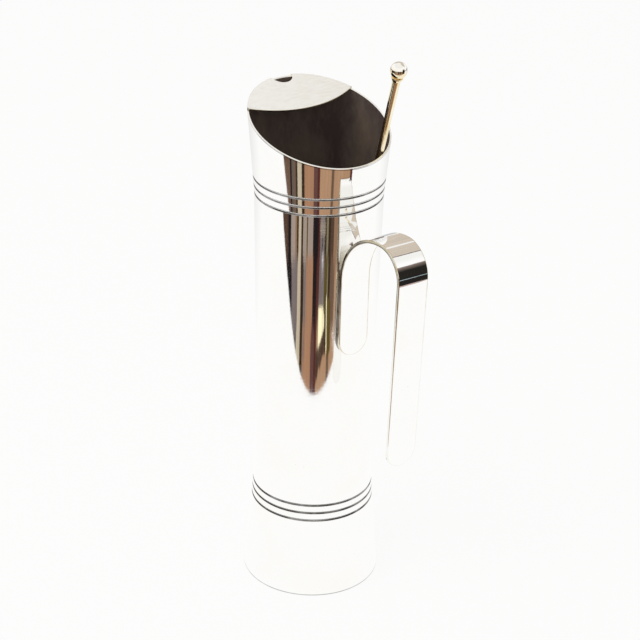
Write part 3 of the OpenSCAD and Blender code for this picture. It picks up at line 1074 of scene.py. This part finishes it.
# Things that stand just past the table's edge, one close behind the other: tone, then the
# outline's points across and up, in millimetres
NEAR_AT = 270
NEAR_THINGS = [
    ("glow", [(16, 60), (56, 58), (69, 47), (70, 40), (48, 34), (20, 28)]),
    ("umber", [(70, 66), (79, 64), (90, 17), (80, 17)]),
    ("glow", [(80, 62), (87, 60), (98, 16), (91, 16)]),
    ("olive", [(88, 60), (122, 50), (134, 8), (99, 10)]),
    ("walnut", [(2, 24), (20, 28), (47, 33), (69, 42), (82, 38), (94, 16), (62, 17), (44, 10),
                (30, 12), (20, 4), (6, 2)]),
]

# A dark screen to the camera's right, painted shade for the shadowy side of the room, which
# the bend of the handle shows as a band
SCREEN_AT = (446 * MM, -218 * MM)
SCREEN_WAY = math.radians(70)
SCREEN_PARTS = [
    # tone, across from and to, up from and to and nearer by, in millimetres
    ("rose", -60, 26, 2, 38, 0), ("shade", -60, 26, 38, 50, 0), ("deep_shade", -60, 26, 50, 60, 0),
    # Strips above the deep_shade paint the screen's lamp-lit top; glint is a painted glint
    ("deep_shade", -130, 130, 60, 370, 0), ("dusk", -130, 130, 370, 400, 0),
    ("taupe", -130, 130, 400, 430, 0), ("smoke", -130, 130, 430, 455, 0),
    ("ash", -130, 130, 455, 475, 0), ("glint", -40, 10, 166, 176, 3),
    ("smoke", 0, 90, 182, 185, 3),
]


def room_tone(name):
    """A tone of the room with soft upright grain. It glows with the colour, the room's lit
    look painted in, and gives nothing else.
    """
    n = new_material("room_" + name)
    n.shader.inputs["Base Color"].default_value = (0, 0, 0, 1)
    n.shader.inputs["Specular IOR Level"].default_value = 0
    grain = n.grey(n.noise(scale=40, stretch=(1, 1, 0.08)), 0.3, 0.7)
    darker, lighter = (tuple(c * level for c in ROOM_TONES[name]) for level in GRAIN)
    n.feed(n.shader.inputs["Emission Color"], n.mix(grain, darker, lighter))
    n.shader.inputs["Emission Strength"].default_value = 1
    return n.owner


def only_in_metal(name, corners, material):
    """A plane that is seen in the metal and nowhere else."""
    piece = plane(name, corners, material)
    piece.visible_camera = False
    piece.visible_shadow = False
    piece.visible_diffuse = False


def upright(a, b, low, high):
    """Corners of an upright rectangle between two points across and away."""
    return [turned(*a, low), turned(*b, low), turned(*b, high), turned(*a, high)]


def panel(start, end, low, high, far):
    """Corners of a panel of the room between two directions."""
    a, b = math.radians(start), math.radians(end)
    return upright((far * math.sin(a), -far * math.cos(a)),
                   (far * math.sin(b), -far * math.cos(b)), low, high)


def room_panels():
    """Tone and corners of the room's panels: the bands, and what stands before them."""
    panels = []
    for (low, high), stripes in ROOM_BANDS:
        for (start, tone), (end, _) in zip(stripes, stripes[1:]):
            panels.append((tone, panel(start, end, low - OVERLAP, high, ROOM_FAR)))
    for tone, start, end, low, high in ROOM_THINGS:
        panels.append((tone, panel(start, end, low, high, ROOM_FAR - THINGS_NEARER)))
    return panels


def near_things():
    """Tone and corners of the things just past the table's edge."""
    return [(tone, [turned(x * MM, -(NEAR_AT + k) * MM, z * MM) for x, z in shape])
            for k, (tone, shape) in enumerate(NEAR_THINGS)]


def screen_parts():
    """Tone and corners of the parts of the dark screen."""
    x, y = SCREEN_AT
    dx, dy = math.cos(SCREEN_WAY), math.sin(SCREEN_WAY)
    parts = []
    for tone, start, end, low, high, nearer in SCREEN_PARTS:
        a, b = [(x + side * MM * dx - nearer * MM * dy, y + side * MM * dy + nearer * MM * dx)
                for side in (start, end)]
        parts.append((tone, upright(a, b, low * MM, high * MM)))
    return parts


def make_room():
    """The room, the things past the table's edge and the dark screen."""
    tones = {name: room_tone(name) for name in ROOM_TONES}
    for k, (tone, corners) in enumerate(room_panels()):
        only_in_metal("room_panel_%d" % (k + 1), corners, tones[tone])
    for k, (tone, corners) in enumerate(near_things()):
        only_in_metal("room_thing_%d" % k, corners, tones[tone])
    for k, (tone, corners) in enumerate(screen_parts()):
        only_in_metal("screen_part_%d" % k, corners, tones[tone])


make_camera()
make_floor()
make_world()
make_lamp()
make_room()

scene = bpy.context.scene
scene.view_settings.view_transform = "Standard"
